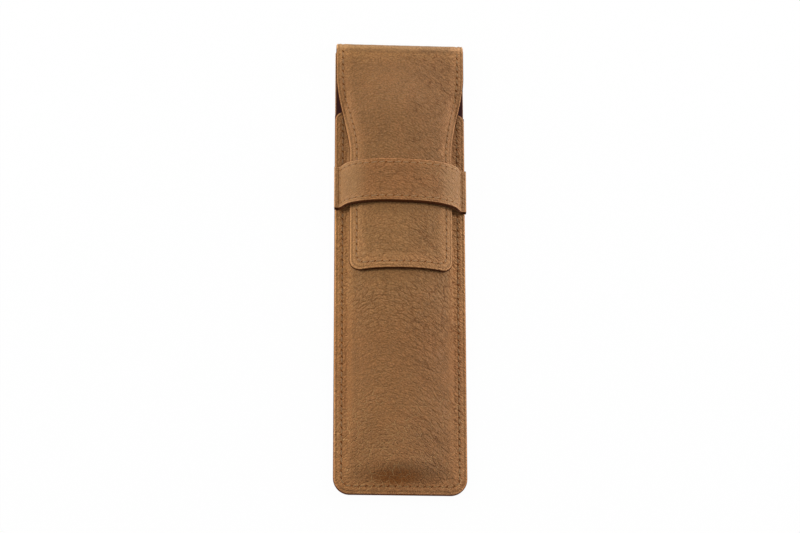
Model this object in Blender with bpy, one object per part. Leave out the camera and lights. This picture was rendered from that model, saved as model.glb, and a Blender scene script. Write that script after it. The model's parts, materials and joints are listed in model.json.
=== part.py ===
"""Leather pen case: a lined pocket of two sewn panels, a folding flap and a keeper strap.

The case lies on its back. X runs across it, +Y towards the fold at its top, +Z out of its front.
The origin is under the middle of the case, on the face that it lies on. Lengths are in metres.
"""

import math

import bmesh
import bpy
from mathutils import Vector

# Whole case
CASE_LENGTH = 0.1605
CASE_WIDTH = 0.045
BOTTOM_CORNER_RADIUS = 0.0055

# Plies: a leather outside, a thin lining inside
LEATHER_THICKNESS = 0.0009
LINING_THICKNESS = 0.0003
PLY_GAP = 0.0003
LINING_EDGE_INSET = 0.0003

# Pocket: the raised middle of the front panel between the sewn margins
MOUTH_DROP = 0.0255
MOUTH_CORNER_RADIUS = 0.003
SEAM_INSET = 0.0025
SEAM_TO_BULGE = 0.0018
BULGE_HEIGHT = 0.0098
BULGE_RUN_IN = 0.028
BULGE_TAPER_SHARE = 0.24
NOSE_LENGTH = 0.0072
NOSE_SOFTENING = 0.018
NOSE_SEAM_GAP = 0.0008

# Shape of the bulge across the case, as exponents and shares of its half width
BOX_POWER = 2.6
BOX_ROUNDING = 0.75
STRAP_ROUNDING = 0.6
ROUND_POWER = 2.0
ROUND_ROUNDING = 1.6
NOSE_POWER = 1.3
FOOT_SHARE = 0.15
LAYER_SPREAD_SHARE = 0.6

# Flap: as wide as the case at the fold, drawn in to a tongue that goes under the strap
FLAP_REACH = 0.0848
FLAP_SIDE_INSET = 0.00025
TAPER_START = 0.012
TAPER_END = 0.043
TONGUE_INSET = 0.0049
TONGUE_CORNER_RADIUS = 0.0033

# Keeper strap across the front, its ends sewn to the margins
STRAP_DROP = 0.0466
STRAP_WIDTH = 0.0149
STRAP_OVERHANG = 0.0004
STRAP_LANDING = 0.0013
STRAP_LINING_INSET = 0.0004

# How finely the curved shells are divided
BULGE_COLUMN_SHARES = (0.0, 0.16, 0.32, 0.46, 0.58, 0.68, 0.76, 0.82, 0.87, 0.91, 0.95, 1.0)
MARGIN_COLUMN_SHARES = (0.35, 1.0)
BULGE_WITHIN_SHARE = 0.93
CORNER_STEPS = 5
FOLD_STEPS = 12
STRAP_STEPS = 36
ROW_SPACING = 0.012
FINE_ROW_SPACING = 0.0034

# Worked out from the sizes above
HALF_LENGTH = CASE_LENGTH / 2
HALF_WIDTH = CASE_WIDTH / 2
PLY = LEATHER_THICKNESS + PLY_GAP + LINING_THICKNESS
MARGIN_TOP = 2 * PLY + PLY_GAP
FOLD_RADIUS = (3 * PLY + 2 * PLY_GAP) / 2
FOLD_Y = HALF_LENGTH - FOLD_RADIUS
PANEL_END_Y = FOLD_Y - PLY_GAP
MOUTH_Y = HALF_LENGTH - MOUTH_DROP
STRAP_TOP_Y = HALF_LENGTH - STRAP_DROP
STRAP_LOW_Y = STRAP_TOP_Y - STRAP_WIDTH
TONGUE_Y = HALF_LENGTH - FLAP_REACH
BULGE_HALF_WIDTH = HALF_WIDTH - SEAM_INSET - SEAM_TO_BULGE
NOSE_Y = -HALF_LENGTH + SEAM_INSET + NOSE_SEAM_GAP

LEATHER_TAN = (0.255, 0.125, 0.050, 1.0)
LINING_BURGUNDY = (0.026, 0.007, 0.009, 1.0)


def clear_scene():
    for obj in list(bpy.data.objects):
        bpy.data.objects.remove(obj, do_unlink=True)


def finish_material(name, colour, roughness):
    material = bpy.data.materials.new(name)
    material.use_nodes = True
    shader = material.node_tree.nodes["Principled BSDF"]
    shader.inputs["Base Color"].default_value = colour
    shader.inputs["Roughness"].default_value = roughness
    shader.inputs["Metallic"].default_value = 0.0
    return material


def leather(name):
    return finish_material(name + "_leather", LEATHER_TAN, 0.55)


def lining(name):
    return finish_material(name + "_calf", LINING_BURGUNDY, 0.6)


def make_object(name, bm, material):
    mesh = bpy.data.meshes.new(name)
    bm.to_mesh(mesh)
    bm.free()
    mesh.materials.append(material)
    obj = bpy.data.objects.new(name, mesh)
    bpy.context.scene.collection.objects.link(obj)
    return obj


def smooth(t):
    t = min(1.0, max(0.0, t))
    return t * t * (3 - 2 * t)


def foot(u):
    """Eases the side of the bulge out of the flat margin."""
    t = min(1.0, max(0.0, (1 - u) / FOOT_SHARE))
    return 1 - (1 - t) ** 3


def box_arch(u, rounding):
    return (1 - u**BOX_POWER) ** rounding * foot(u) if u < 1 else 0.0


def round_arch(u):
    return (1 - u**ROUND_POWER) ** ROUND_ROUNDING if u < 1 else 0.0


def bulge_along(y, layer):
    """Height of the bulge's ridge as a share: it rises from the fold, tapers and drops at the nose."""
    rise = smooth((FOLD_Y - y) / BULGE_RUN_IN)
    taper = 1 - BULGE_TAPER_SHARE * smooth((TONGUE_Y - y) / (TONGUE_Y - NOSE_Y))
    nose = min(1.0, max(0.0, (y - NOSE_Y + LAYER_SPREAD_SHARE * layer) / NOSE_LENGTH))
    return rise * taper * math.sin(nose * math.pi / 2) ** NOSE_POWER


def bulge_half_width(layer):
    return BULGE_HALF_WIDTH + LAYER_SPREAD_SHARE * layer


def bulge(x, y, layer):
    """Height over the flat margin of the layer that lies this far outside the front leather."""
    u = abs(x) / bulge_half_width(layer)
    softness = 1 - smooth((y - NOSE_Y - NOSE_LENGTH / 2) / NOSE_SOFTENING)
    across = (1 - softness) * box_arch(u, BOX_ROUNDING) + softness * round_arch(u)
    return BULGE_HEIGHT * bulge_along(y, layer) * across


def layer_height(x, y, layer):
    return MARGIN_TOP + layer + bulge(x, y, layer)


def strap_height(x, layer):
    """The strap lies on the margins at its ends and arches over the tongue."""
    half = HALF_WIDTH - STRAP_LANDING + LAYER_SPREAD_SHARE * (layer - PLY - PLY_GAP)
    arch = (BULGE_HEIGHT + PLY + PLY_GAP) * box_arch(abs(x) / half, STRAP_ROUNDING)
    return MARGIN_TOP + layer + arch


def flap_half_width(y):
    """The flap's sides follow an S from the case's width to the tongue's."""
    drawn_in = TONGUE_INSET - FLAP_SIDE_INSET
    t = (HALF_LENGTH - y - TAPER_START) / (TAPER_END - TAPER_START)
    return HALF_WIDTH - FLAP_SIDE_INSET - drawn_in * smooth(t)


def corner_inset(distance, radius):
    """How far a rounded corner draws the side in, at this distance from the end."""
    if distance >= radius:
        return 0.0
    return radius - math.sqrt(max(0.0, radius**2 - (radius - distance) ** 2))


def corner_rows(end, radius, direction):
    steps = [math.pi / 2 * step / CORNER_STEPS for step in range(CORNER_STEPS + 1)]
    return [end + direction * radius * (1 - math.cos(angle)) for angle in steps]


def even_rows(low, high, spacing):
    """Rows strictly between two heights."""
    count = max(1, math.ceil((high - low) / spacing))
    return [low + (high - low) * step / count for step in range(1, count)]


def pocket_rows(inset):
    low, high = -HALF_LENGTH + inset, MOUTH_Y - inset
    nose_top = NOSE_Y + NOSE_LENGTH + NOSE_SOFTENING
    run_in = FOLD_Y - BULGE_RUN_IN
    rows = corner_rows(low, BOTTOM_CORNER_RADIUS, 1)
    rows += even_rows(rows[-1], nose_top, FINE_ROW_SPACING / 2)
    rows += [nose_top] + even_rows(nose_top, run_in, ROW_SPACING)
    mouth = corner_rows(high, MOUTH_CORNER_RADIUS, -1)[::-1]
    rows += [run_in] + even_rows(run_in, mouth[0], FINE_ROW_SPACING) + mouth
    return rows


def pocket_half_width(inset):
    def half_width(y):
        bottom = corner_inset(y + HALF_LENGTH - inset, BOTTOM_CORNER_RADIUS)
        mouth = corner_inset(MOUTH_Y - inset - y, MOUTH_CORNER_RADIUS)
        return HALF_WIDTH - inset - bottom - mouth

    return half_width


def flap_rows(inset):
    low = TONGUE_Y + inset
    run_in = FOLD_Y - BULGE_RUN_IN
    rows = corner_rows(low, TONGUE_CORNER_RADIUS, 1)
    rows += even_rows(rows[-1], run_in, ROW_SPACING)
    rows += [run_in] + even_rows(run_in, PANEL_END_Y, FINE_ROW_SPACING) + [PANEL_END_Y]
    return rows


def flap_outline(inset):
    def half_width(y):
        return flap_half_width(y) - inset - corner_inset(y - TONGUE_Y - inset, TONGUE_CORNER_RADIUS)

    return half_width


def add_thickness(obj, thickness):
    """Gives an open outer face its thickness, inwards."""
    shell = obj.modifiers.new("thickness", "SOLIDIFY")
    shell.thickness = thickness
    shell.offset = -1
    shell.use_even_offset = True
    return obj


def columns(half, layer):
    """Places across one row: closer together where the side of the bulge bends."""
    foot_x = min(bulge_half_width(layer), BULGE_WITHIN_SHARE * half)
    right = [foot_x * share for share in BULGE_COLUMN_SHARES]
    right += [foot_x + (half - foot_x) * share for share in MARGIN_COLUMN_SHARES]
    return [-x for x in right[:0:-1]] + right


def curved_panel(name, rows, half_width, layer, thickness, material):
    """A sheet whose outer face follows the bulge, inside an outline given row by row."""
    bm = bmesh.new()
    grid = []
    for y in rows:
        places = columns(half_width(y), layer)
        grid.append([bm.verts.new((x, y, layer_height(x, y, layer))) for x in places])
    for low, high in zip(grid, grid[1:]):
        for column in range(len(low) - 1):
            bm.faces.new((low[column], low[column + 1], high[column + 1], high[column]))
    obj = make_object(name, bm, material)
    obj.data.shade_smooth()
    obj.data.set_sharp_from_angle(angle=math.radians(40))
    return add_thickness(obj, thickness)


def flat_panel(name, bottom, thickness, inset, material):
    """The back: flat, square at the fold and rounded at its lower corners."""
    radius = BOTTOM_CORNER_RADIUS - inset
    low = -HALF_LENGTH + inset
    half = HALF_WIDTH - inset
    right = [(half - corner_inset(y - low, radius), y) for y in corner_rows(low, radius, 1)]
    outline = right + [(half, PANEL_END_Y)]
    outline += [(-x, y) for x, y in reversed(outline)]
    bm = bmesh.new()
    face = bm.faces.new([bm.verts.new((x, y, bottom)) for x, y in outline])
    raised = bmesh.ops.extrude_face_region(bm, geom=[face])
    top = [item for item in raised["geom"] if isinstance(item, bmesh.types.BMVert)]
    bmesh.ops.translate(bm, verts=top, vec=Vector((0, 0, thickness)))
    bmesh.ops.recalc_face_normals(bm, faces=bm.faces)
    return make_object(name, bm, material)


def fold_spine(name, bottom, thickness, inset, material):
    """The half turn that carries the back over into the flap."""
    half = HALF_WIDTH - FLAP_SIDE_INSET - inset
    corners = [(-half, bottom), (half, bottom), (half, bottom + thickness), (-half, bottom + thickness)]
    bm = bmesh.new()
    face = bm.faces.new([bm.verts.new((x, FOLD_Y, z)) for x, z in corners])
    axis_point = Vector((0, FOLD_Y, FOLD_RADIUS))
    bmesh.ops.spin(
        bm,
        geom=list(face.verts) + list(face.edges) + [face],
        cent=axis_point,
        axis=Vector((1, 0, 0)),
        angle=math.pi,
        steps=FOLD_STEPS,
    )
    bmesh.ops.recalc_face_normals(bm, faces=bm.faces)
    obj = make_object(name, bm, material)
    obj.data.shade_smooth()
    obj.data.set_sharp_from_angle(angle=math.radians(40))
    return obj


def strap_band(name, layer, thickness, inset, material):
    """The strap's arch, drawn across the case and extruded along it."""
    half = HALF_WIDTH + STRAP_OVERHANG - inset
    low, high = STRAP_LOW_Y + inset, STRAP_TOP_Y - inset
    bm = bmesh.new()
    line = []
    for step in range(STRAP_STEPS + 1):
        x = -half * math.cos(math.pi * step / STRAP_STEPS)
        line.append(bm.verts.new((x, low, strap_height(x, layer))))
    edges = [bm.edges.new(pair) for pair in zip(line, line[1:])]
    drawn = bmesh.ops.extrude_edge_only(bm, edges=edges)
    far = [item for item in drawn["geom"] if isinstance(item, bmesh.types.BMVert)]
    bmesh.ops.translate(bm, verts=far, vec=Vector((0, high - low, 0)))
    for face in bm.faces:
        face.normal_update()
        if face.normal.z < 0:
            face.normal_flip()
    obj = make_object(name, bm, material)
    obj.data.shade_smooth()
    obj.data.set_sharp_from_angle(angle=math.radians(40))
    return add_thickness(obj, thickness)


def back_panel():
    flat_panel("back_panel_leather", 0.0, LEATHER_THICKNESS, 0.0, leather("back"))
    bottom = LEATHER_THICKNESS + PLY_GAP
    flat_panel("back_panel_lining", bottom, LINING_THICKNESS, LINING_EDGE_INSET, lining("back"))


def fold():
    fold_spine("fold_spine_leather", 0.0, LEATHER_THICKNESS, 0.0, leather("fold"))
    bottom = LEATHER_THICKNESS + PLY_GAP
    fold_spine("fold_spine_lining", bottom, LINING_THICKNESS, LINING_EDGE_INSET, lining("fold"))


def front_panel():
    curved_panel(
        "front_panel_leather",
        pocket_rows(0.0),
        pocket_half_width(0.0),
        0.0,
        LEATHER_THICKNESS,
        leather("front"),
    )
    curved_panel(
        "front_panel_lining",
        pocket_rows(LINING_EDGE_INSET),
        pocket_half_width(LINING_EDGE_INSET),
        -LEATHER_THICKNESS - PLY_GAP,
        LINING_THICKNESS,
        lining("front"),
    )


def flap():
    curved_panel(
        "flap_leather",
        flap_rows(0.0),
        flap_outline(0.0),
        PLY + PLY_GAP,
        LEATHER_THICKNESS,
        leather("flap"),
    )
    curved_panel(
        "flap_lining",
        flap_rows(LINING_EDGE_INSET),
        flap_outline(LINING_EDGE_INSET),
        PLY_GAP + LINING_THICKNESS,
        LINING_THICKNESS,
        lining("flap"),
    )


def strap():
    strap_band("strap_leather", PLY + PLY_GAP, LEATHER_THICKNESS, 0.0, leather("strap"))
    layer = PLY_GAP + LINING_THICKNESS
    strap_band("strap_lining", layer, LINING_THICKNESS, STRAP_LINING_INSET, lining("strap"))


clear_scene()
back_panel()
fold()
front_panel()
flap()
strap()
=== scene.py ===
"""Looks of a leather pen case: grained tan calf, burgundy lining, painted edges and saddle stitching.

Object coordinates and sizes are in metres. The case lies on its back: X across, +Y to the fold, +Z out of
its front.
"""

import json
import math
import random

import bpy
import numpy as np
from mathutils import Matrix, Vector


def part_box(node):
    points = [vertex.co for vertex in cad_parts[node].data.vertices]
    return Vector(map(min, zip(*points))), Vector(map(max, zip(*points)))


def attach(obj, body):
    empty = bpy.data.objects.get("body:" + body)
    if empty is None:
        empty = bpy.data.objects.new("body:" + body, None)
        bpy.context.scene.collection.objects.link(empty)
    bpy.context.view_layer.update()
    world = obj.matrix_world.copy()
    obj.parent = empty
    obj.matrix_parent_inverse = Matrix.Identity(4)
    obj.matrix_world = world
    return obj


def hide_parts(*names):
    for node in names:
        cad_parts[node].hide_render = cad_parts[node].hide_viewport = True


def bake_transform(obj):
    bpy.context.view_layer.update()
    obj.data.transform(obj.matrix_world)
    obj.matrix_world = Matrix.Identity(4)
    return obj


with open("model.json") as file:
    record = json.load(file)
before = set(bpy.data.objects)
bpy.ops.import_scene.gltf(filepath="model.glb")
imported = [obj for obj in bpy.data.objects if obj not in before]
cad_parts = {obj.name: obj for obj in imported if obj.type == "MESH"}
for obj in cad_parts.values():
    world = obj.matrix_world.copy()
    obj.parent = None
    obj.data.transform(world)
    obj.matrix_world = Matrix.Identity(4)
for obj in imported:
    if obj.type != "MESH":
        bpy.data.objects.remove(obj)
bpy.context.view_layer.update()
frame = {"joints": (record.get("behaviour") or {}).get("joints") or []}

MM = 0.001

# The frame gives the outline and the axis that the flap turns on
BACK_LOW, BACK_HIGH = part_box("back_panel_leather")
FRONT_LOW, FRONT_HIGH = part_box("front_panel_leather")
TONGUE_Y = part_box("flap_leather")[0].y
STRAP_LOW, STRAP_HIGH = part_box("strap_leather")
HINGE = Vector(frame["joints"][0]["pos_m"])

HALF_WIDTH = BACK_HIGH.x
BOTTOM_Y = BACK_LOW.y
MOUTH_Y = FRONT_HIGH.y
STRAP_TOP_Y = STRAP_HIGH.y
STRAP_LOW_Y = STRAP_LOW.y
FOLD_Y = HINGE.y
FOLD_RADIUS = HINGE.z

# Plies as the solids have them, and the shape of the raised pocket
LEATHER = BACK_HIGH.z - BACK_LOW.z
GAP = 0.3 * MM
LINING = 0.3 * MM
PLY = LEATHER + GAP + LINING
MARGIN_TOP = 2 * PLY + GAP
FLAP_LAYER = PLY + GAP
BULGE_HEIGHT = FRONT_HIGH.z - MARGIN_TOP
BULGE_RUN_IN = 28 * MM
BULGE_TAPER_SHARE = 0.24
BULGE_HALF_WIDTH = HALF_WIDTH - 4.3 * MM
NOSE_Y = BOTTOM_Y + 3.3 * MM
NOSE_LENGTH = 7.2 * MM
NOSE_SOFTENING = 18 * MM
BOX_POWER = 2.6
BOX_ROUNDING = 0.75
STRAP_ROUNDING = 0.6
ROUND_POWER = 2.0
ROUND_ROUNDING = 1.6
NOSE_POWER = 1.3
FOOT_SHARE = 0.15
LAYER_SPREAD_SHARE = 0.6
STRAP_LANDING = 1.3 * MM
FLAP_SIDE_INSET = 0.25 * MM
TAPER_START = 12 * MM
TAPER_END = 43 * MM
TONGUE_INSET = 4.9 * MM
BOTTOM_CORNER = 5.5 * MM
MOUTH_CORNER = 3.0 * MM
TONGUE_CORNER = 4.2 * MM


def smooth(t):
    t = min(1.0, max(0.0, t))
    return t * t * (3 - 2 * t)


def box_arch(u, rounding):
    if u >= 1:
        return 0.0
    t = min(1.0, (1 - u) / FOOT_SHARE)
    return (1 - u**BOX_POWER) ** rounding * (1 - (1 - t) ** 3)


def bulge(x, y, layer):
    """Height of the raised pocket over the flat margin, for a layer outside the front leather."""
    u = abs(x) / (BULGE_HALF_WIDTH + LAYER_SPREAD_SHARE * layer)
    if u >= 1:
        return 0.0
    softness = 1 - smooth((y - NOSE_Y - NOSE_LENGTH / 2) / NOSE_SOFTENING)
    across = (1 - softness) * box_arch(u, BOX_ROUNDING)
    across += softness * (1 - u**ROUND_POWER) ** ROUND_ROUNDING
    nose = min(1.0, max(0.0, (y - NOSE_Y + LAYER_SPREAD_SHARE * layer) / NOSE_LENGTH))
    taper = 1 - BULGE_TAPER_SHARE * smooth((TONGUE_Y - y) / (TONGUE_Y - NOSE_Y))
    along = smooth((FOLD_Y - y) / BULGE_RUN_IN) * math.sin(nose * math.pi / 2) ** NOSE_POWER
    return BULGE_HEIGHT * along * taper * across


def strap_arch(x):
    half = HALF_WIDTH - STRAP_LANDING + LAYER_SPREAD_SHARE * (FLAP_LAYER - PLY - GAP)
    return (BULGE_HEIGHT + PLY + GAP) * box_arch(abs(x) / half, STRAP_ROUNDING)


def flap_half_width(y):
    drop = FOLD_Y + FOLD_RADIUS - y
    t = (drop - TAPER_START) / (TAPER_END - TAPER_START)
    return HALF_WIDTH - FLAP_SIDE_INSET - (TONGUE_INSET - FLAP_SIDE_INSET) * smooth(t)


def corner_inset(distance, radius):
    if distance >= radius:
        return 0.0
    return radius - math.sqrt(max(0.0, radius**2 - (radius - distance) ** 2))


# Relief of sewn leather by distance from its edge: a rolled rim, a creased line and a sunk row of stitches
RIM_ROLL = 0.45 * MM
CREASE_AT = 0.85 * MM
CREASE_WIDTH = 0.2 * MM
RIDGE_AT = 1.5 * MM
RIDGE_WIDTH = 0.35 * MM
RIDGE_HEIGHT = 0.05 * MM
ROW_WIDTH = 0.4 * MM
ROW_TONE_AT = 2.4 * MM
CORNER_ROWS = 12


def dip(distance, centre, width):
    return math.exp(-(((distance - centre) / width) ** 2))


def edge_relief(distance, row_at, crease_depth=0.1 * MM, row_depth=0.16 * MM):
    roll = max(0.0, 1 - distance / RIM_ROLL)
    height = -RIM_ROLL * (1 - math.sqrt(max(0.0, 1 - roll * roll)))
    height -= crease_depth * dip(distance, CREASE_AT, CREASE_WIDTH)
    height += RIDGE_HEIGHT * dip(distance, RIDGE_AT, RIDGE_WIDTH)
    height -= row_depth * dip(distance, row_at, ROW_WIDTH)
    return height


RIPPLE_WAVES = 7


def ripple(x, y, seed):
    """Slack skin: low wrinkles a few millimetres long that run slantwise, from a sum of waves."""
    rng = random.Random(seed)
    total = 0.0
    for _ in range(RIPPLE_WAVES):
        angle = rng.uniform(-0.9, 0.9) + math.pi / 5
        length = rng.uniform(3.5, 9.0) * MM
        phase = rng.uniform(0, 2 * math.pi)
        along = (x * math.cos(angle) + y * math.sin(angle)) / length
        bend = 0.7 * math.sin((y * math.cos(angle) - x * math.sin(angle)) / (2.1 * length) + phase)
        total += math.sin(2 * math.pi * along + phase + bend)
    return total / RIPPLE_WAVES


# Mesh tools: a grid primitive whose vertices are carried to their place on the leather


def deselect():
    if bpy.context.mode != "OBJECT":
        bpy.ops.object.mode_set(mode="OBJECT")
    bpy.ops.object.select_all(action="DESELECT")


def grid_piece(name, columns, rows, place):
    """A grid primitive, columns by rows; place(u, v) gives the point for shares 0 to 1 across and along."""
    deselect()
    bpy.ops.mesh.primitive_grid_add(x_subdivisions=columns, y_subdivisions=rows, size=2)
    piece = bpy.context.object
    piece.name = piece.data.name = name
    points = [place((v.co.x + 1) / 2, (v.co.y + 1) / 2) for v in piece.data.vertices]
    piece.data.vertices.foreach_set("co", np.array([p[:3] for p in points], np.float32).ravel())
    if len(points[0]) > 3:
        edge = piece.data.attributes.new("edge_distance", "FLOAT", "POINT")
        edge.data.foreach_set("value", np.array([p[3] for p in points], np.float32))
    piece.data.update()
    bpy.ops.object.shade_smooth()
    return piece


def thicken(piece, thickness):
    shell = piece.modifiers.new("thickness", "SOLIDIFY")
    shell.thickness = thickness
    shell.offset = -1
    shell.use_even_offset = True
    deselect()
    bpy.context.view_layer.objects.active = piece
    piece.select_set(True)
    bpy.ops.object.modifier_apply(modifier="thickness")
    bpy.ops.object.shade_smooth_by_angle(angle=math.radians(50))
    return piece


def margin_spread(u, half, margin, share):
    """Places columns from -half to half, with the given share of them within the margin of each edge."""
    side = -1 if u < 0.5 else 1
    t = abs(u - 0.5) * 2
    inner = 1 - share
    x = (half - margin) * t / inner if t < inner else half - margin + margin * (t - inner) / share
    return side * x


def row_travel(v, rows, run, low_corner, high_corner):
    """Places rows along a run, closer together in the rounded corners at its two ends."""
    share = CORNER_ROWS / rows
    if v < share:
        return low_corner * (1 - math.cos(v / share * math.pi / 2))
    if v > 1 - share:
        return run - high_corner * (1 - math.cos((1 - v) / share * math.pi / 2))
    return low_corner + (run - low_corner - high_corner) * (v - share) / (1 - 2 * share)


def tone_distance(edge, row_at):
    """Distance from the edge as the tones take it: the rim stays, the stitches' row goes to ROW_TONE_AT."""
    if edge < RIM_ROLL:
        return edge
    return RIM_ROLL + (edge - RIM_ROLL) * (ROW_TONE_AT - RIM_ROLL) / (row_at - RIM_ROLL)


def outline_distance(x, y, half, low, high, low_corner, high_corner):
    """Distance in from a rounded outline, given its half width at this height."""
    side = half - abs(x)
    best = side
    for end, corner in ((y - low, low_corner), (high - y, high_corner)):
        if side < corner and end < corner:
            best = min(best, corner - math.hypot(corner - side, corner - end))
        best = min(best, end)
    return max(0.0, best)


# Outer skin: one hide from the bottom of the back, over the fold, down to the tongue
BACK_RUN = FOLD_Y - BOTTOM_Y
FOLD_RUN = math.pi * FOLD_RADIUS
FLAP_RUN = FOLD_Y - TONGUE_Y
SKIN_RUN = BACK_RUN + FOLD_RUN + FLAP_RUN
ROW_STEP = 0.62 * MM
FLAP_ROW_AT = 2.2 * MM
SEAM_ROW_AT = 2.6 * MM

# The leather stops just short of its lining, and the lining just short of the edge
HIDE_THICKNESS = LEATHER + GAP - 0.03 * MM
LINING_INSET = 0.3 * MM
STRAP_LINING_INSET = 0.4 * MM

# Columns stand closer together in the margin, where the relief of the sewn edge is
MARGIN_BAND = 4.2 * MM
MARGIN_SHARE = 0.32

# Slack wrinkles start this far in from the edge and reach full depth over the run
SLACK_START = 3 * MM
SLACK_RUN = 4 * MM
SKIN_SLACK = 0.05 * MM
POCKET_SLACK = 0.06 * MM
SKIN_SEED = 4
POCKET_SEED = 9
STRAP_SEED = 15

# Columns and rows of the grids
LEATHER_COLUMNS = 90
LINING_COLUMNS = 44
SKIN_LINING_ROWS = 220
POCKET_ROWS = 230
POCKET_LINING_ROWS = 120
STRAP_GRID = (150, 44)
STRAP_LINING_GRID = (90, 12)


def skin_point(x, travel, depth):
    """A point of the outer skin, travel metres from the back's bottom edge and depth under its face."""
    if travel <= BACK_RUN:
        return Vector((x, BOTTOM_Y + travel, depth))
    if travel <= BACK_RUN + FOLD_RUN:
        angle = (travel - BACK_RUN) / FOLD_RADIUS
        radius = FOLD_RADIUS - depth
        return Vector((x, FOLD_Y + radius * math.sin(angle), FOLD_RADIUS - radius * math.cos(angle)))
    y = FOLD_Y - (travel - BACK_RUN - FOLD_RUN)
    layer = FLAP_LAYER - depth
    return Vector((x, y, MARGIN_TOP + layer + bulge(x, y, layer)))


def skin_half_width(travel):
    if travel <= BACK_RUN:
        return HALF_WIDTH
    return flap_half_width(min(FOLD_Y, FOLD_Y - (travel - BACK_RUN - FOLD_RUN)))


def skin_place(inset, base_depth, rows, relief):
    def place(u, v):
        travel = inset + row_travel(v, rows, SKIN_RUN - 2 * inset, BOTTOM_CORNER, TONGUE_CORNER)
        half = skin_half_width(travel) - inset
        low = corner_inset(travel - inset, BOTTOM_CORNER)
        high = corner_inset(SKIN_RUN - inset - travel, TONGUE_CORNER)
        x = margin_spread(u, half - low - high, MARGIN_BAND, MARGIN_SHARE)
        edge = outline_distance(x, travel, half, inset, SKIN_RUN - inset, BOTTOM_CORNER, TONGUE_CORNER)
        depth = base_depth
        row = SEAM_ROW_AT if travel < BACK_RUN else FLAP_ROW_AT
        if relief:
            depth -= edge_relief(edge, row)
            slack = smooth((edge - SLACK_START) / SLACK_RUN)
            depth += SKIN_SLACK * (1 - ripple(x, travel, SKIN_SEED)) * slack
        return (*skin_point(x, travel, depth), tone_distance(edge, row))

    return place


def outer_leather():
    rows = round(SKIN_RUN / ROW_STEP)
    place = skin_place(0.0, 0.0, rows, True)
    skin = grid_piece("outer_leather", LEATHER_COLUMNS, rows, place)
    flip_outwards(skin)
    return thicken(skin, HIDE_THICKNESS)


def outer_lining():
    place = skin_place(LINING_INSET, LEATHER + GAP, SKIN_LINING_ROWS, False)
    skin = grid_piece("outer_lining", LINING_COLUMNS, SKIN_LINING_ROWS, place)
    flip_outwards(skin)
    return thicken(skin, LINING)


def flip_outwards(piece):
    """Turns an open sheet whose first face, on the underside, should look down."""
    deselect()
    bpy.context.view_layer.objects.active = piece
    piece.select_set(True)
    if piece.data.polygons[0].normal.z > 0:
        bpy.ops.object.mode_set(mode="EDIT")
        bpy.ops.mesh.select_all(action="SELECT")
        bpy.ops.mesh.flip_normals()
        bpy.ops.object.mode_set(mode="OBJECT")


# Front of the pocket


def pocket_place(inset, layer, rows, relief):
    low, high = BOTTOM_Y + inset, MOUTH_Y - inset

    def place(u, v):
        y = low + row_travel(v, rows, high - low, BOTTOM_CORNER, MOUTH_CORNER)
        half = HALF_WIDTH - inset
        drawn = corner_inset(y - low, BOTTOM_CORNER) + corner_inset(high - y, MOUTH_CORNER)
        x = margin_spread(u, half - drawn, MARGIN_BAND, MARGIN_SHARE)
        edge = outline_distance(x, y, half, low, high, BOTTOM_CORNER, MOUTH_CORNER)
        z = MARGIN_TOP + layer + bulge(x, y, layer)
        if relief:
            z += edge_relief(edge, SEAM_ROW_AT)
            slack = smooth((edge - SLACK_START) / SLACK_RUN)
            z -= POCKET_SLACK * (1 - ripple(x, y, POCKET_SEED)) * slack
        return x, y, z, tone_distance(edge, SEAM_ROW_AT)

    return place


def front_leather():
    place = pocket_place(0.0, 0.0, POCKET_ROWS, True)
    panel = grid_piece("front_leather", LEATHER_COLUMNS, POCKET_ROWS, place)
    return thicken(panel, HIDE_THICKNESS)


def front_lining():
    place = pocket_place(LINING_INSET, -LEATHER - GAP, POCKET_LINING_ROWS, False)
    panel = grid_piece("front_lining", LINING_COLUMNS, POCKET_LINING_ROWS, place)
    return thicken(panel, LINING)


# Keeper strap: a band across the front, a little aslant, as the sewn one is
STRAP_HALF = STRAP_HIGH.x
STRAP_WIDTH = STRAP_TOP_Y - STRAP_LOW_Y
STRAP_SLANT = 0.35 * MM
STRAP_ROW_AT = 1.45 * MM
STRAP_END_ROW_AT = 2.0 * MM
STRAP_ROW_DEPTH = 0.1 * MM
STRAP_END_ROW_DEPTH = 0.12 * MM
STRAP_MARGIN_BAND = 2.6 * MM
STRAP_MARGIN_SHARE = 0.5
STRAP_END_CROWDING = 0.35
STRAP_SLACK = 0.05 * MM
STRAP_SLACK_START = 2 * MM
STRAP_SLACK_RUN = 2 * MM


def strap_place(inset, layer, relief):
    def place(u, v):
        half = STRAP_HALF - inset
        x = -half * math.cos(math.pi * u) * STRAP_END_CROWDING + (2 * u - 1) * half * (1 - STRAP_END_CROWDING)
        width = STRAP_WIDTH - 2 * inset
        across = margin_spread(v, width / 2, STRAP_MARGIN_BAND, STRAP_MARGIN_SHARE)
        edge = min(width / 2 - abs(across), half - abs(x))
        y = (STRAP_TOP_Y + STRAP_LOW_Y) / 2 + across - STRAP_SLANT * x / STRAP_HALF
        z = MARGIN_TOP + layer + strap_arch(x)
        if relief:
            z += edge_relief(max(0.0, width / 2 - abs(across)), STRAP_ROW_AT, 0.0, STRAP_ROW_DEPTH)
            roll = max(0.0, 1 - (half - abs(x)) / RIM_ROLL)
            z -= RIM_ROLL * (1 - math.sqrt(max(0.0, 1 - roll * roll)))
            z -= STRAP_END_ROW_DEPTH * dip(half - abs(x), STRAP_END_ROW_AT, ROW_WIDTH)
            slack = smooth((edge - STRAP_SLACK_START) / STRAP_SLACK_RUN)
            z -= STRAP_SLACK * (1 - ripple(x, y, STRAP_SEED)) * slack
        return x, y, z, tone_distance(max(0.0, edge), STRAP_ROW_AT)

    return place


def strap_leather():
    band = grid_piece("strap_leather_band", *STRAP_GRID, strap_place(0.0, FLAP_LAYER, True))
    return thicken(band, HIDE_THICKNESS)


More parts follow.
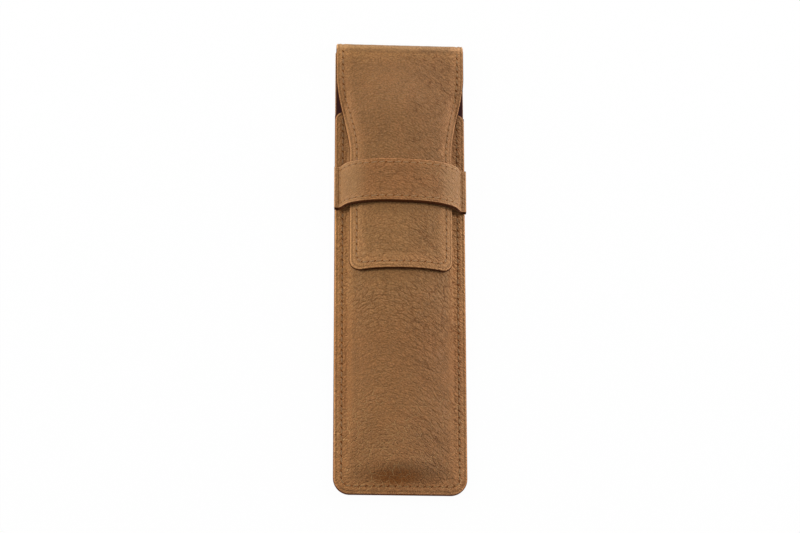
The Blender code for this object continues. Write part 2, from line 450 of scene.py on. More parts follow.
def strap_lining():
    place = strap_place(STRAP_LINING_INSET, GAP + LINING, False)
    band = grid_piece("strap_lining_band", *STRAP_LINING_GRID, place)
    return thicken(band, LINING)


# Painted edges: a slim elliptical bead along the edge of the plies, half sunk in them

# Inset is how far in its middle lies, trim what its half height leaves of the ply, reach how far it goes out
COAT_SIDES = 12
MERGE_DISTANCE = 0.00001
PATH_STEP = 0.8 * MM
COAT_DROP = 0.1 * MM
COAT_TRIM = 0.16 * MM
COAT_REACH = 0.26 * MM
FLAP_COAT_LOW_REACH = 0.24 * MM
# The strap's low coat reaches far out: its painted edge, and past it a painted shadow under the strap
STRAP_LOW_COAT_SHADOW_REACH = 0.6 * MM
STRAP_TOP_COAT_SHIFT = -0.14 * MM
SEAM_COAT_INSET = 0.22 * MM
SEAM_COAT_TRIM = 0.28 * MM
SEAM_COAT_REACH = 0.34 * MM
MOUTH_COAT_INSET = 0.12 * MM
MOUTH_COAT_TRIM = 0.14 * MM
MOUTH_COAT_REACH = 0.24 * MM
STRAP_COAT_END = 0.1 * MM
STRAP_COAT_POINTS = 140
SEAM_COAT_START = 1 * MM
BEND_STEPS = 12
TONGUE_BEND_STEPS = 8


def path_frames(points):
    frames = []
    for index, point in enumerate(points):
        before = points[max(0, index - 1)]
        after = points[min(len(points) - 1, index + 1)]
        frames.append((point, (after - before).normalized()))
    return frames


def edge_coat(name, points, half_height, reach, low_reach=0.0):
    """A painted edge along the points: half_height up and down, reach outwards, low_reach more low down."""
    frames = path_frames(points)
    frames = [frames[0], *frames, frames[-1]]
    last = len(frames) - 1
    up = Vector((0, 0, 1))

    def place(u, v):
        index = round(v * last)
        point, along = frames[index]
        if index in (0, last):
            return tuple(point)
        out = along.cross(up).normalized()
        angle = 2 * math.pi * u
        far = reach + low_reach * max(0.0, -out.y * math.sin(angle))
        return tuple(point + out * far * math.sin(angle) + up * half_height * math.cos(angle))

    piece = grid_piece(name, COAT_SIDES, last, place)
    close_tube(piece)
    return piece


def close_tube(piece):
    """Merges the tube's long seam and its two ends, where each ring is drawn to a point."""
    deselect()
    bpy.context.view_layer.objects.active = piece
    piece.select_set(True)
    bpy.ops.object.mode_set(mode="EDIT")
    bpy.ops.mesh.select_all(action="SELECT")
    bpy.ops.mesh.remove_doubles(threshold=MERGE_DISTANCE)
    bpy.ops.mesh.normals_make_consistent(inside=False)
    bpy.ops.object.mode_set(mode="OBJECT")


def pocket_path(inset, high):
    """Down the left side, round both lower corners and up the right side, this far in from the edge."""
    radius = BOTTOM_CORNER - inset
    half = HALF_WIDTH - inset
    base = BOTTOM_Y + inset
    points = [(-half, y) for y in np.arange(high, base + radius, -PATH_STEP)]
    for turn in range(BEND_STEPS + 1):
        angle = math.pi / 2 * turn / BEND_STEPS
        points.append((-half + radius - radius * math.cos(angle), base + radius - radius * math.sin(angle)))
    points += [(x, base) for x in np.arange(-half + radius + PATH_STEP, half - radius, PATH_STEP)]
    for turn in range(BEND_STEPS + 1):
        angle = math.pi / 2 * turn / BEND_STEPS
        points.append((half - radius + radius * math.sin(angle), base + radius - radius * math.cos(angle)))
    points += [(half, y) for y in np.arange(base + radius + PATH_STEP, high, PATH_STEP)]
    return points


def flap_path(inset, start_y):
    """Down the flap's left side, round the tongue and up its right side, this far in from the edge."""
    radius = TONGUE_CORNER - inset * 0.5
    base = TONGUE_Y + inset
    left = [(-(flap_half_width(y) - inset), y) for y in np.arange(start_y, base + radius, -PATH_STEP)]
    half = flap_half_width(TONGUE_Y) - inset
    corner = []
    for turn in range(TONGUE_BEND_STEPS + 1):
        angle = math.pi / 2 * turn / TONGUE_BEND_STEPS
        corner.append((-half + radius - radius * math.cos(angle), base + radius - radius * math.sin(angle)))
    along = [(x, base) for x in np.arange(-half + radius + PATH_STEP, 0.0, PATH_STEP)]
    half_path = left + corner + along
    return half_path + [(-x, y) for x, y in reversed(half_path)]


def edge_coats():
    centre = MARGIN_TOP / 2
    points = [Vector((x, y, centre)) for x, y in pocket_path(SEAM_COAT_INSET, MOUTH_Y - SEAM_COAT_START)]
    seam = edge_coat("pocket_edge_coat", points, MARGIN_TOP / 2 - SEAM_COAT_TRIM, SEAM_COAT_REACH)

    def flap_point(x, y, depth):
        layer = FLAP_LAYER - depth
        return Vector((x, y, MARGIN_TOP + layer + bulge(x, y, layer)))

    points = [flap_point(x, y, PLY / 2 + COAT_DROP) for x, y in flap_path(COAT_TRIM, FOLD_Y)]
    flap = edge_coat("flap_edge_coat", points, PLY / 2 - COAT_TRIM, COAT_REACH, FLAP_COAT_LOW_REACH)
    return seam, flap


def mouth_and_strap_coats():
    half = HALF_WIDTH - MOUTH_CORNER
    mouth = []
    for x in np.arange(-half, half + PATH_STEP / 2, PATH_STEP):
        y = MOUTH_Y - MOUTH_COAT_INSET
        mouth.append(Vector((x, y, MARGIN_TOP - PLY / 2 - COAT_DROP + bulge(x, y, -PLY / 2))))
    coats = [edge_coat("mouth_edge_coat", mouth, PLY / 2 - MOUTH_COAT_TRIM, MOUTH_COAT_REACH)]
    for name, end, shift, reach in (
        ("strap_top_coat", STRAP_TOP_Y, STRAP_TOP_COAT_SHIFT, COAT_REACH),
        # The low coat is edge paint and, beyond it, painted shadow under the strap's lower edge
        ("strap_low_coat_and_shadow", STRAP_LOW_Y, 0.0, STRAP_LOW_COAT_SHADOW_REACH),
    ):
        path = []
        for x in np.linspace(-STRAP_HALF + STRAP_COAT_END, STRAP_HALF - STRAP_COAT_END, STRAP_COAT_POINTS):
            y = end + shift - STRAP_SLANT * x / STRAP_HALF
            path.append(Vector((x, y, MARGIN_TOP + FLAP_LAYER - PLY / 2 - COAT_DROP + strap_arch(x))))
        coats.append(edge_coat(name, path, PLY / 2 - COAT_TRIM, reach))
    return coats


# Stitches: one shape, repeated along its row as a single mesh

# How far a stitch strays: its turn in radians, its place along and across in mm, its length
TURN_STRAY = 0.12
ALONG_STRAY = 0.07
ACROSS_STRAY = 0.05
LENGTH_STRAY = (0.85, 1.1)
THREAD_FLATNESS = 0.8


def stitch_rows(name, points, normals, pitch, length, radius, slant, skip=None):
    """Short lens-shaped threads along a path, each turned a little out of line."""
    deselect()
    bpy.ops.mesh.primitive_uv_sphere_add(segments=8, ring_count=5, radius=1)
    seed = bpy.context.object
    unit = [v.co.copy() for v in seed.data.vertices]
    # The primitive gives its faces in an order that varies from run to run
    faces = sorted(tuple(p.vertices) for p in seed.data.polygons)
    bpy.data.objects.remove(seed, do_unlink=True)
    vertices, polygons = [], []
    hand = random.Random(name)
    travel = 0.0
    due = pitch / 2
    for index in range(1, len(points)):
        run = (points[index] - points[index - 1]).length
        while travel + run >= due:
            t = (due - travel) / run
            centre = points[index - 1].lerp(points[index], t)
            due += pitch
            if skip and skip(centre):
                continue
            along = (points[index] - points[index - 1]).normalized()
            up = normals[index]
            side = up.cross(along).normalized()
            turn = slant + hand.uniform(-TURN_STRAY, TURN_STRAY)
            lean = along * math.cos(turn) + side * math.sin(turn)
            wide = up.cross(lean).normalized()
            shift = along * hand.uniform(-ALONG_STRAY, ALONG_STRAY) * MM
            centre = centre + shift + side * hand.uniform(-ACROSS_STRAY, ACROSS_STRAY) * MM
            long = length * hand.uniform(*LENGTH_STRAY)
            first = len(vertices)
            for point in unit:
                lengthways = lean * point.z * long / 2
                vertices.append(
                    centre + lengthways + wide * point.x * radius + up * point.y * radius * THREAD_FLATNESS
                )
            polygons += [tuple(first + corner for corner in face) for face in faces]
        travel += run
    mesh = bpy.data.meshes.new(name)
    mesh.from_pydata([tuple(v) for v in vertices], [], polygons)
    mesh.shade_smooth()
    piece = bpy.data.objects.new(name, mesh)
    bpy.context.scene.collection.objects.link(piece)
    return piece


NORMAL_STEP = 0.3 * MM


def surface_normal(height, x, y):
    step = NORMAL_STEP
    slope_x = (height(x + step, y) - height(x - step, y)) / (2 * step)
    slope_y = (height(x, y + step) - height(x, y - step)) / (2 * step)
    return Vector((-slope_x, -slope_y, 1)).normalized()


def lay_on(height, path, lift):
    points, normals = [], []
    for x, y in path:
        normal = surface_normal(height, x, y)
        points.append(Vector((x, y, height(x, y))) + normal * lift)
        normals.append(normal)
    return points, normals


def front_height(x, y):
    return MARGIN_TOP + bulge(x, y, 0.0)


def flap_height(x, y):
    return MARGIN_TOP + FLAP_LAYER + bulge(x, y, FLAP_LAYER)


def strap_height(x, y):
    return MARGIN_TOP + FLAP_LAYER + strap_arch(x)


SEAM_PITCH = 2.45 * MM
STRAP_PITCH = 2.7 * MM
THREAD_RADIUS = 0.2 * MM
THREAD_SHARE = 0.86
THREAD_LIFT = -0.06 * MM
HOLE_LENGTH = 1.1 * MM
HOLE_RADIUS = 0.19 * MM
HOLE_LIFT = -0.1 * MM
ROW_SLANT = 0.32
THREAD_SLANT = ROW_SLANT * 0.45
HOLE_SLANT = ROW_SLANT * 2.2
BACK_SLANT = 0.14
BACK_ROW_Z = 0.06 * MM
UNDER_STRAP_INSET = 0.3 * MM
SEAM_ROW_START = 2.4 * MM
ROW_FROM_FOLD = 1 * MM
STRAP_ROW_END = 2.4 * MM
STRAP_END_ROW_END = 1.6 * MM


def thread_pair(name, height, path, pitch, skip=None):
    """A row of threads and, between them, dark lenses for the pricked holes: painted shade in the holes."""
    points, normals = lay_on(height, path, THREAD_LIFT)
    length = pitch * THREAD_SHARE
    threads = stitch_rows(name + "_thread", points, normals, pitch, length, THREAD_RADIUS, THREAD_SLANT, skip)
    points, normals = lay_on(height, path, HOLE_LIFT)
    # Started half a pitch earlier, the row puts its holes between the threads
    start = points[0] + (points[0] - points[1]).normalized() * (pitch / 2)
    shifted = [start] + points
    shifted_normals = [normals[0]] + normals
    holes = stitch_rows(
        name + "_pricking", shifted, shifted_normals, pitch, HOLE_LENGTH, HOLE_RADIUS, HOLE_SLANT, skip
    )
    return threads, holes


def under_strap(point):
    return STRAP_LOW_Y + UNDER_STRAP_INSET < point.y < STRAP_TOP_Y - UNDER_STRAP_INSET


def all_threads():
    seam_path = pocket_path(SEAM_ROW_AT, MOUTH_Y - SEAM_ROW_START)
    border_path = flap_path(FLAP_ROW_AT, FOLD_Y - ROW_FROM_FOLD)
    pairs = [thread_pair("pocket_seam", front_height, seam_path, SEAM_PITCH, under_strap)]
    pairs.append(thread_pair("flap_border", flap_height, border_path, SEAM_PITCH))
    for name, end, inward in (("strap_top", STRAP_TOP_Y, -1), ("strap_low", STRAP_LOW_Y, 1)):
        path = []
        for x in np.linspace(-STRAP_HALF + STRAP_ROW_END, STRAP_HALF - STRAP_ROW_END, 160):
            path.append((x, end + inward * STRAP_ROW_AT - STRAP_SLANT * x / STRAP_HALF))
        pairs.append(thread_pair(name, strap_height, path, STRAP_PITCH))
    for name, side in (("strap_left_end", -1), ("strap_right_end", 1)):
        x = side * (STRAP_HALF - STRAP_END_ROW_AT)
        shift = -STRAP_SLANT * x / STRAP_HALF
        down_strap = np.linspace(STRAP_TOP_Y - STRAP_END_ROW_END, STRAP_LOW_Y + STRAP_END_ROW_END, 40)
        path = [(x, y + shift) for y in down_strap]
        pairs.append(thread_pair(name, strap_height, path, STRAP_PITCH))
    back = [Vector((x, y, BACK_ROW_Z)) for x, y in pocket_path(SEAM_ROW_AT, FOLD_Y - ROW_FROM_FOLD)]
    down = [Vector((0, 0, -1))] * len(back)
    length = SEAM_PITCH * THREAD_SHARE
    back_row = stitch_rows("back_seam_thread", back, down, SEAM_PITCH, length, THREAD_RADIUS, BACK_SLANT)
    pairs.append((back_row,))
    return pairs


# Materials

# Tone by distance from the edge, painted light and shade: a painted highlight on the rim and the ridge,
# painted shade in the crease and along the row of stitches, and the margin painted lighter against the shade
# at the pocket's foot
EDGE_BAND = 6.0 * MM
EDGE_TONES_AND_PAINTED_LIGHT = (
    (0.0, 1.45), (0.22 * MM, 1.9), (0.5 * MM, 1.25), (0.85 * MM, 0.9), (1.15 * MM, 1.28), (1.6 * MM, 1.36),
    (2.05 * MM, 1.3), (2.4 * MM, 1.08), (2.75 * MM, 1.36), (4.3 * MM, 1.2), (6.0 * MM, 1.0),
)
STRAP_TONES_AND_PAINTED_LIGHT = (
    (0.0, 1.45), (0.22 * MM, 1.8), (0.5 * MM, 1.2), (0.85 * MM, 0.9), (1.15 * MM, 1.2), (1.6 * MM, 1.22),
    (2.05 * MM, 1.05), (2.4 * MM, 0.65), (2.75 * MM, 1.1), (4.3 * MM, 1.1), (6.0 * MM, 1.0),
)

# Tone along the hide, from the bottom of the case to its fold: darker and more orange low down, painted shade
# where the bottom turns away from the light; greyer at the flap; a painted highlight over the fold
HIDE_SPAN = 82 * MM
HIDE_TONES_AND_PAINTED_LIGHT = (
    (-82 * MM, (0.76, 0.74, 0.7)), (-77 * MM, (0.86, 0.84, 0.8)), (-72 * MM, (1.0, 1.0, 1.0)),
    (-30 * MM, (1.02, 1.03, 1.03)), (-10 * MM, (1.08, 1.18, 1.24)), (14 * MM, (1.08, 1.19, 1.25)),
    (31 * MM, (1.0, 1.08, 1.14)), (45 * MM, (0.92, 0.98, 1.03)), (71.5 * MM, (0.92, 0.98, 1.03)),
    (74.5 * MM, (1.05, 1.14, 1.19)), (76.5 * MM, (1.3, 1.42, 1.49)), (78 * MM, (1.33, 1.44, 1.52)),
    (79.2 * MM, (1.1, 1.18, 1.28)), (80.2 * MM, (0.78, 0.86, 0.95)),
)

# The wrinkles fall away from a line left of the middle: where it is, how blunt its top and how steep the fall
FAN_LINE_LEFT = 7 * MM
FAN_TOP_BLUNT = 8 * MM
FAN_SLOPE = 0.62

# Grain: scale and sideways stretch of its pebbles, of about 1.9 x 4.5 mm with smaller ones of 0.9 x 1.6 mm
WIDE_PEBBLES = (530, 0.42)
FINE_PEBBLES = (1150, 0.55)
GRAIN_WARP = 0.0024
GRAIN_RELIEF = 0.0004
# Pores are drawn coarse, at 0.6 mm, to show
PORE_SCALE = 1700

CALF_BROWNS = ((0.36, "#8E623A"), (0.5, "#90633A"), (0.64, "#93643B"))
# Painted shade on the toe
TOE_PAINTED_SHADE = "#804606"
# Painted shade in the grain's valleys
VALLEY_PAINTED_SHADE = "#5B3010"
PALE_NET = "#B68C5C"
# Painted highlight on the fold and the strap's shoulders
PAINTED_HIGHLIGHT_TAN = "#BC9468"

# The pocket's sewn margins are painted a little lighter than the rest, most of all beside the tongue and less
# beside the strap: painted light against the shade of the tongue, the strap and the raised pocket
FRONT_MARGIN_PAINTED_LIGHT = 1.06
TONGUE_SIDE_PAINTED_LIGHT = 0.21
STRAP_SIDE_PAINTED_LIGHT_CUT = -0.14
MARGIN_FADE = (17.3 * MM, 18.6 * MM)


def tone(hex_colour):
    """sRGB hex to a linear colour."""
    parts = [int(hex_colour[i : i + 2], 16) / 255 for i in (1, 3, 5)]
    linear = [c / 12.92 if c <= 0.04045 else ((c + 0.055) / 1.055) ** 2.4 for c in parts]
    return (*linear, 1.0)


def add_node(tree, kind, settings=(), values=(), links=()):
    """Adds a node: settings are its properties, values its sockets' constants, links (socket, source)."""
    node = tree.nodes.new(kind)
    for key, value in dict(settings).items():
        setattr(node, key, value)
    for key, value in dict(values).items():
        node.inputs[key].default_value = value
    for key, source in dict(links).items():
        tree.links.new(source, node.inputs[key])
    return node


def ramp(tree, source, stops):
    node = add_node(tree, "ShaderNodeValToRGB", links={"Fac": source})
    elements = node.color_ramp.elements
    while len(elements) < len(stops):
        elements.new(0.5)
    for element, (place, colour) in zip(elements, stops):
        element.position = place
        element.color = colour
    return node


def noise(tree, scale, detail, vector):
    return add_node(
        tree, "ShaderNodeTexNoise", values={"Scale": scale, "Detail": detail}, links={"Vector": vector}
    )


def new_material(name):
    material = bpy.data.materials.new(name)
    material.use_nodes = True
    tree = material.node_tree
    return material, tree, tree.nodes["Principled BSDF"]


def roughen(tree, shader, height, strength, distance):
    bump = add_node(
        tree, "ShaderNodeBump", values={"Strength": strength, "Distance": distance}, links={"Height": height}
    )
    tree.links.new(bump.outputs[0], shader.inputs["Normal"])


def tumbled_calf(name, strap=False, front=False):
    """Drum-tumbled full-grain calf: low pebbles drawn into slanting wrinkles, satin, unevenly dyed, with
    light and shade painted into its colour.
    """
    material, tree, shader = new_material(name)
    place = add_node(tree, "ShaderNodeTexCoord").outputs["Object"]
    split = add_node(tree, "ShaderNodeSeparateXYZ", links={0: place})

    def fade(source, low, high, at_low=0.0, at_high=1.0):
        return add_node(
            tree, "ShaderNodeMapRange", {"interpolation_type": "SMOOTHSTEP"},
            {"From Min": low, "From Max": high, "To Min": at_low, "To Max": at_high}, {"Value": source},
        ).outputs[0]

    def combine(operation, first, second=None):
        """One source, two sources, or a source and a number, through one Math node."""
        settings = {"operation": operation}
        if second is None:
            return add_node(tree, "ShaderNodeMath", settings, links={0: first}).outputs[0]
        if isinstance(second, float):
            return add_node(tree, "ShaderNodeMath", settings, {1: second}, {0: first}).outputs[0]
        return add_node(tree, "ShaderNodeMath", settings, links={0: first, 1: second}).outputs[0]

    def vector(operation, values, links):
        return add_node(tree, "ShaderNodeVectorMath", {"operation": operation}, values, links)

    def dye(colour, hex_colour, share):
        """Draws the colour towards another by a share."""
        return add_node(
            tree, "ShaderNodeMix", {"data_type": "RGBA"}, {"B": tone(hex_colour)},
            {"Factor": share, "A": colour},
        ).outputs[2]

    # The grain is laid out flat: sideways it runs on down the pocket's flanks, and lengthways over the fold
    x, y, z = (split.outputs[axis] for axis in "XYZ")
    lean = add_node(
        tree, "ShaderNodeMapRange",
        values={"From Min": -8 * MM, "From Max": 8 * MM, "To Min": -1.0}, links={"Value": x},
    ).outputs[0]
    drop = combine("MULTIPLY", combine("SUBTRACT", z, FRONT_HIGH.z), -0.6)
    aside = combine("MULTIPLY", combine("MULTIPLY", drop, fade(z, 0.5 * MM, 2 * MM)), lean)
    over_fold = combine("MULTIPLY", z, fade(y, FOLD_Y - 1.5 * MM, FOLD_Y + 0.5 * MM))
    # The hide is drawn down from a line left of its middle, so wrinkles fall away to both sides as a fan
    from_line = combine("ADD", x, FAN_LINE_LEFT)
    squared = combine("ADD", combine("MULTIPLY", from_line, from_line), FAN_TOP_BLUNT**2)
    fall = combine("MULTIPLY", combine("SQRT", squared), FAN_SLOPE)
    fan = add_node(
        tree, "ShaderNodeCombineXYZ",
        links={"X": combine("ADD", x, aside), "Y": combine("ADD", fall, combine("ADD", y, over_fold))},
    )
    warp = noise(tree, 260, 3.0, place)
    shift = vector("MULTIPLY_ADD", {1: (GRAIN_WARP,) * 3}, {0: warp.outputs["Color"], 2: fan.outputs[0]})

    def stretch(share):
        return vector("MULTIPLY", {1: (share, 1.0, 1.0)}, {0: shift.outputs[0]}).outputs[0]

    def cells(scale, share):
        return add_node(
            tree, "ShaderNodeTexVoronoi", {"feature": "DISTANCE_TO_EDGE", "voronoi_dimensions": "2D"},
            {"Scale": scale}, {"Vector": stretch(share)},
        ).outputs["Distance"]

    def cloud(scale, detail, source):
        return noise(tree, scale, detail, source).outputs["Fac"]

    wide_cells, fine_cells = cells(*WIDE_PEBBLES), cells(*FINE_PEBBLES)
    pores = cloud(PORE_SCALE, 2.0, place)
    edge = add_node(tree, "ShaderNodeAttribute", {"attribute_name": "edge_distance"}).outputs["Fac"]
    calm_edge = fade(edge, 1.5 * MM, 5 * MM, 0.4, 1.0)
    patches = fade(cloud(110, 2.0, place), 0.36, 0.62, 0.45, 1.0)
    if strap:
        by_place = fade(x, 0.0, 14 * MM, 0.5, 1.25)
    else:
        stronger_low = fade(y, 30 * MM, -15 * MM, 0.36, 0.78)
        by_place = combine("ADD", stronger_low, fade(x, -2 * MM, 12 * MM, 0.0, 0.42))
    strong = combine("MULTIPLY", combine("MULTIPLY", patches, by_place), calm_edge)

    # Drawn creases: thin lines where a noise stretched along the fan crosses its middle, mostly on the right
    middle = combine("ABSOLUTE", combine("SUBTRACT", cloud(360, 1.5, stretch(0.2)), 0.5))
    in_patches = fade(cloud(75, 1.0, stretch(0.5)), 0.44, 0.58)
    worn = combine("MULTIPLY", in_patches, fade(x, -2 * MM, 12 * MM, 0.3, 1.0))
    drawn = combine("MULTIPLY", fade(middle, 0.0, 0.028, 1.0, 0.0), combine("MULTIPLY", worn, calm_edge))

    def add_up(*shares):
        total = combine("MULTIPLY", *shares[0])
        for source, share in shares[1:]:
            total = combine("ADD", total, combine("MULTIPLY", source, share))
        return total

    wide_domes = combine("MULTIPLY", fade(wide_cells, 0.0, 0.4), strong)
    fine_domes = fade(fine_cells, 0.0, 0.4)
    height = add_up((wide_domes, 0.85), (fine_domes, 0.5), (pores, 0.45), (drawn, -0.6))
    wide_valley = combine("MULTIPLY", fade(wide_cells, 0.0, 0.14, 1.0, 0.0), strong)
    valley = add_up((wide_valley, 0.7), (fade(fine_cells, 0.0, 0.16, 1.0, 0.0), 0.4), (drawn, 0.6))

    base = ramp(tree, cloud(170, 3.0, place), [(at, tone(brown)) for at, brown in CALF_BROWNS])
    # The toe is darkened: painted shade where the nose turns away from the light
    toe_centre = vector("SUBTRACT", {1: (-1.6 * MM, NOSE_Y + 2.5 * MM, MARGIN_TOP)}, {0: place})
    toe_spread = vector("MULTIPLY", {1: (0.32, 1.0, 0.3)}, {0: toe_centre.outputs[0]})
    toe_reach = vector("LENGTH", {}, {0: toe_spread.outputs[0]}).outputs["Value"]
    darkened = dye(base.outputs[0], TOE_PAINTED_SHADE, fade(toe_reach, 1.2 * MM, 3.6 * MM, 0.72, 0.0))
    # The valleys are darkened deep red: painted shade in the grain
    creased = dye(darkened, VALLEY_PAINTED_SHADE, combine("MULTIPLY", valley, 0.74))
    speckled = vector("SCALE", {}, {0: creased, "Scale": fade(pores, 0.3, 0.7, 0.84, 1.26)})

    # Low on the case, and on the strap's right, a pale net of thin lines shows in the valleys
    low = fade(x, 2 * MM, 9 * MM) if strap else fade(y, -15 * MM, -60 * MM)
    fine_lines = fade(fine_cells, 0.0, 0.08, 1.0, 0.0)
    lines = add_up((fade(wide_cells, 0.0, 0.07, 1.0, 0.0), 0.7), (fine_lines, 0.35))
    net = combine("MULTIPLY", lines, combine("MULTIPLY", low, patches))
    rubbed = dye(speckled.outputs[0], PALE_NET, net)

    # The fold is painted pale, and so are the strap's shoulders: a painted highlight where they face the
    # lamps
    fold = fade(y, FOLD_Y - 1.5 * MM, FOLD_Y + 2.5 * MM, 0.0, 0.35)
    if strap:
        fold = fade(combine("ABSOLUTE", x), 11 * MM, 17 * MM, 0.0, 0.3)
    folded = dye(rubbed, PAINTED_HIGHLIGHT_TAN, fold)

    # The edge tones paint light and shade: highlights on the rim and ridge, shade in the crease and along the
    # stitches
    across = add_node(tree, "ShaderNodeMapRange", values={"From Max": EDGE_BAND}, links={"Value": edge})
    tones = STRAP_TONES_AND_PAINTED_LIGHT if strap else EDGE_TONES_AND_PAINTED_LIGHT
    # On the front the edge tones are raised: painted light on the sewn margins
    if front:
        tones = [(at, value * FRONT_MARGIN_PAINTED_LIGHT) for at, value in EDGE_TONES_AND_PAINTED_LIGHT[:-1]] + [EDGE_TONES_AND_PAINTED_LIGHT[-1]]
    band = ramp(
        tree, across.outputs[0],
        [(at / EDGE_BAND, (value / 2, value / 2, (1.25 * value - 0.25) / 2, 1.0)) for at, value in tones],
    )
    doubled = vector("SCALE", {"Scale": 2.0}, {0: band.outputs[0]})
    coloured = vector("MULTIPLY", {}, {0: folded, 1: doubled.outputs[0]})
    # The colour is yellower on the left and rosier on the right: a painted sheen, as of a lamp on the right
    sideways = add_node(
        tree, "ShaderNodeCombineXYZ", values={"X": 1.0},
        links={"Y": fade(x, -18 * MM, 18 * MM, 0.99, 1.0), "Z": fade(x, -18 * MM, 18 * MM, 0.91, 1.03)},
    )
    coloured = vector("MULTIPLY", {}, {0: coloured.outputs[0], 1: sideways.outputs[0]})
    # Along the hide: painted shade low down and a painted highlight over the fold
    if not strap:
        lengthways = add_node(
            tree, "ShaderNodeMapRange",
            values={"From Min": -HIDE_SPAN, "From Max": HIDE_SPAN}, links={"Value": y},
        )
        stops = [
            ((at + HIDE_SPAN) / (2 * HIDE_SPAN), (*[value / 2 for value in rgb], 1.0))
            for at, rgb in HIDE_TONES_AND_PAINTED_LIGHT
        ]
        stripe = ramp(tree, lengthways.outputs[0], stops)
        restored = vector("SCALE", {"Scale": 2.0}, {0: stripe.outputs[0]})
        coloured = vector("MULTIPLY", {}, {0: coloured.outputs[0], 1: restored.outputs[0]})
    # Painted light on the margins beside the tongue, less beside the strap
    if front:
        outer = fade(combine("ABSOLUTE", x), *MARGIN_FADE)
        beside_tongue = fade(y, -45 * MM, 2 * MM, 0.0, TONGUE_SIDE_PAINTED_LIGHT)
        lightened = combine("ADD", beside_tongue, fade(y, 18 * MM, 34 * MM, 0.0, STRAP_SIDE_PAINTED_LIGHT_CUT))
        gain = combine("ADD", combine("MULTIPLY", outer, lightened), 1.0)
        coloured = vector("SCALE", {}, {0: coloured.outputs[0], "Scale": gain})
    tree.links.new(coloured.outputs[0], shader.inputs["Base Color"])
    tree.links.new(fade(height, 0.1, 1.4, 0.75, 0.55), shader.inputs["Roughness"])
    roughen(tree, shader, height, 0.8, GRAIN_RELIEF)
    shader.inputs["IOR"].default_value = 1.42
    shader.inputs["Specular IOR Level"].default_value = 0.3
    return material


def mottled(name, scale, detail, tones, roughness, specular, relief=0.0):
    """A plain finish whose colour wanders between two tones, with a faint relief where it has one."""
    material, tree, shader = new_material(name)
    place = add_node(tree, "ShaderNodeTexCoord").outputs["Object"]
    uneven = noise(tree, scale, detail, place).outputs["Fac"]
    dark, light = tones
    colour = ramp(tree, uneven, [(0.3, tone(dark)), (0.7, tone(light))])
    tree.links.new(colour.outputs[0], shader.inputs["Base Color"])
    if relief:
        roughen(tree, shader, uneven, 0.4, relief)
    shader.inputs["Roughness"].default_value = roughness
    shader.inputs["Specular IOR Level"].default_value = specular
    return material


def dress(piece, material):
    piece.data.materials.clear()
    piece.data.materials.append(material)
    return piece


# Build

calf = tumbled_calf("tumbled_calf_tan")
front_calf = tumbled_calf("tumbled_calf_front", front=True)
strap_calf = tumbled_calf("tumbled_calf_strap", strap=True)
# Thin split calf: nearly smooth, dull, with a faint fine grain
burgundy = mottled("smooth_calf_burgundy", 1500, 4.0, ("#34130F", "#481F1B"), 0.62, 0.25, relief=0.0001)
# Acrylic paint over cut leather: dull
paint = mottled("acrylic_edge_paint_brown", 900, 3.0, ("#371A06", "#462208"), 0.7, 0.06)
russet_paint = mottled("acrylic_edge_paint_russet", 900, 3.0, ("#57290F", "#6A3518"), 0.7, 0.06)
# Waxed thread in the leather's own tone
thread = mottled("waxed_polyester_thread_tan", 3000, 2.0, ("#8A6238", "#A27A4A"), 0.5, 0.5)
# Dark lenses in the pricked holes: painted shade
hole_shade = mottled("pricked_hole_painted_shade", 1200, 2.0, ("#663816", "#76441E"), 0.8, 0.1)

skin = dress(outer_leather(), calf)
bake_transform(skin)
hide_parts("back_panel_leather", "fold_spine_leather", "flap_leather")
skin_lining = dress(outer_lining(), burgundy)
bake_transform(skin_lining)
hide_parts("back_panel_lining", "fold_spine_lining", "flap_lining")

front = dress(front_leather(), front_calf)
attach(front, "case")
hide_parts("front_panel_leather")
inside = dress(front_lining(), burgundy)
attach(inside, "case")
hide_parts("front_panel_lining")

strap = dress(strap_leather(), strap_calf)
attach(strap, "case")
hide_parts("strap_leather")
strap_inside = dress(strap_lining(), burgundy)
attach(strap_inside, "case")
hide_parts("strap_lining")

seam_coat, flap_coat = edge_coats()
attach(dress(seam_coat, russet_paint), "case")
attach(dress(flap_coat, paint), "flap")
for coat in mouth_and_strap_coats():
    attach(dress(coat, paint), "case")
for pair in all_threads():
    for piece in pair:
        body = "flap" if piece.name.startswith("flap") else "case"
        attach(dress(piece, hole_shade if "pricking" in piece.name else thread), body)


# Floor, lights and camera

FLOOR_HALF = 1.5
FLOOR_DROP = 0.1 * MM
FLOOR_WHITE_SHARE = 0.97
AIR_STRENGTH = 0.28


def studio_floor():
    deselect()
    bpy.ops.mesh.primitive_plane_add(size=2 * FLOOR_HALF, location=(0, 0, -FLOOR_DROP))
    floor = bpy.context.object
    floor.name = "studio_floor"
    material, tree, shader = new_material("matt_white_board")
    shader.inputs["Base Color"].default_value = (0.9, 0.9, 0.9, 1)
    shader.inputs["Roughness"].default_value = 0.9
    glow = add_node(tree, "ShaderNodeEmission", values={"Color": (1, 1, 1, 1), "Strength": 1.0})
    path = add_node(tree, "ShaderNodeLightPath")
    lit = add_node(
        tree, "ShaderNodeMath", {"operation": "MULTIPLY"}, {1: FLOOR_WHITE_SHARE},
        {0: path.outputs["Is Camera Ray"]},
    )
    mix = add_node(
        tree, "ShaderNodeMixShader",
        links={0: lit.outputs[0], 1: shader.outputs[0], 2: glow.outputs[0]},
    )
    tree.links.new(mix.outputs[0], tree.nodes["Material Output"].inputs["Surface"])
    floor.data.materials.append(material)


# Name, place, width, height and power in watts; each is turned to the middle of the case
SOFTBOXES = (
    ("left_softbox", (-0.7, 0.15, 0.32), 0.35, 0.8, 4.65),
    ("right_softbox", (0.7, 0.15, 0.32), 0.35, 0.8, 4.9),
    ("top_softbox", (0, 0.85, 0.34), 0.7, 0.3, 3.3),
    ("low_softbox", (0, -0.85, 0.4), 0.7, 0.3, 0.6),
)


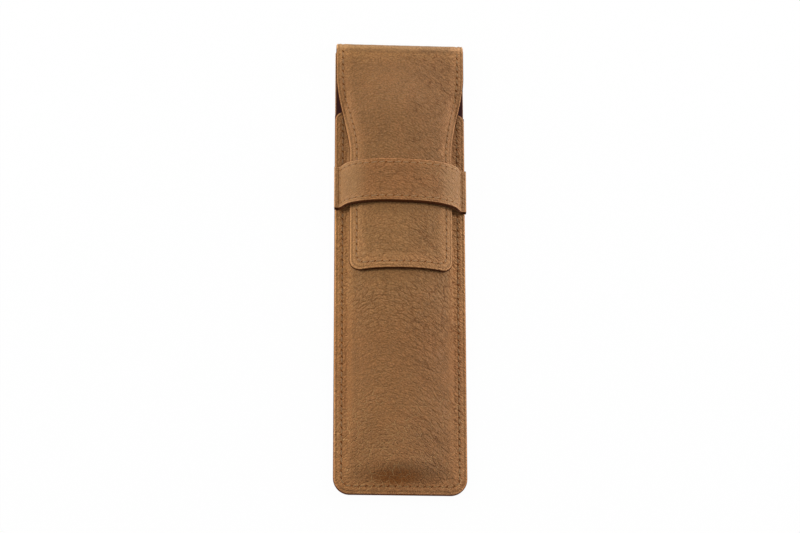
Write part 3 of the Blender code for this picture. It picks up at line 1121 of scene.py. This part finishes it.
def softbox(name, place, width, height, power):
    lamp = bpy.data.lights.new(name, "AREA")
    lamp.shape = "RECTANGLE"
    lamp.size = width
    lamp.size_y = height
    lamp.energy = power
    holder = bpy.data.objects.new(name, lamp)
    bpy.context.scene.collection.objects.link(holder)
    holder.location = place
    direction = Vector((0, 0, 0)) - Vector(place)
    holder.rotation_euler = direction.to_track_quat("-Z", "Y").to_euler()


def studio_light():
    for lamp in SOFTBOXES:
        softbox(*lamp)
    world = bpy.data.worlds.new("studio_air")
    bpy.context.scene.world = world
    world.use_nodes = True
    tree = world.node_tree
    path = add_node(tree, "ShaderNodeLightPath")
    strength = add_node(
        tree, "ShaderNodeMapRange", values={"To Min": AIR_STRENGTH, "To Max": 1.0},
        links={"Value": path.outputs["Is Camera Ray"]},
    )
    background = tree.nodes["Background"]
    background.inputs["Color"].default_value = (1, 1, 1, 1)
    tree.links.new(strength.outputs[0], background.inputs["Strength"])


CAMERA_TILT = math.radians(16.23)
CAMERA_SWING = math.radians(4.17)
CAMERA_ROLL = math.radians(-0.12)
CAMERA_DISTANCE = 0.8273
CAMERA_AIM = Vector((0.0002, -0.00015, 0.0))
SENSOR_WIDTH = 36.0
FOCAL_PIXELS = 2400
FRAME_WIDTH_PIXELS = 800


def studio_camera():
    data = bpy.data.cameras.new("camera")
    data.sensor_width = SENSOR_WIDTH
    data.lens = FOCAL_PIXELS * SENSOR_WIDTH / FRAME_WIDTH_PIXELS
    data.clip_start = 0.01
    camera = bpy.data.objects.new("camera", data)
    bpy.context.scene.collection.objects.link(camera)
    back = Vector((-math.sin(CAMERA_SWING), -math.sin(CAMERA_TILT), 0))
    back.z = math.sqrt(1 - back.x**2 - back.y**2)
    right = Vector((0, 1, 0)).cross(back).normalized()
    up = back.cross(right)
    right_turned = right * math.cos(CAMERA_ROLL) + up * math.sin(CAMERA_ROLL)
    up_turned = up * math.cos(CAMERA_ROLL) - right * math.sin(CAMERA_ROLL)
    turn = np.array([right_turned, up_turned, back]).T
    place = Matrix.Translation(CAMERA_AIM + back * CAMERA_DISTANCE)
    camera.matrix_world = place @ Matrix(turn.tolist()).to_4x4()
    bpy.context.scene.camera = camera


studio_floor()
studio_light()
studio_camera()
bpy.context.scene.view_settings.view_transform = "Standard"
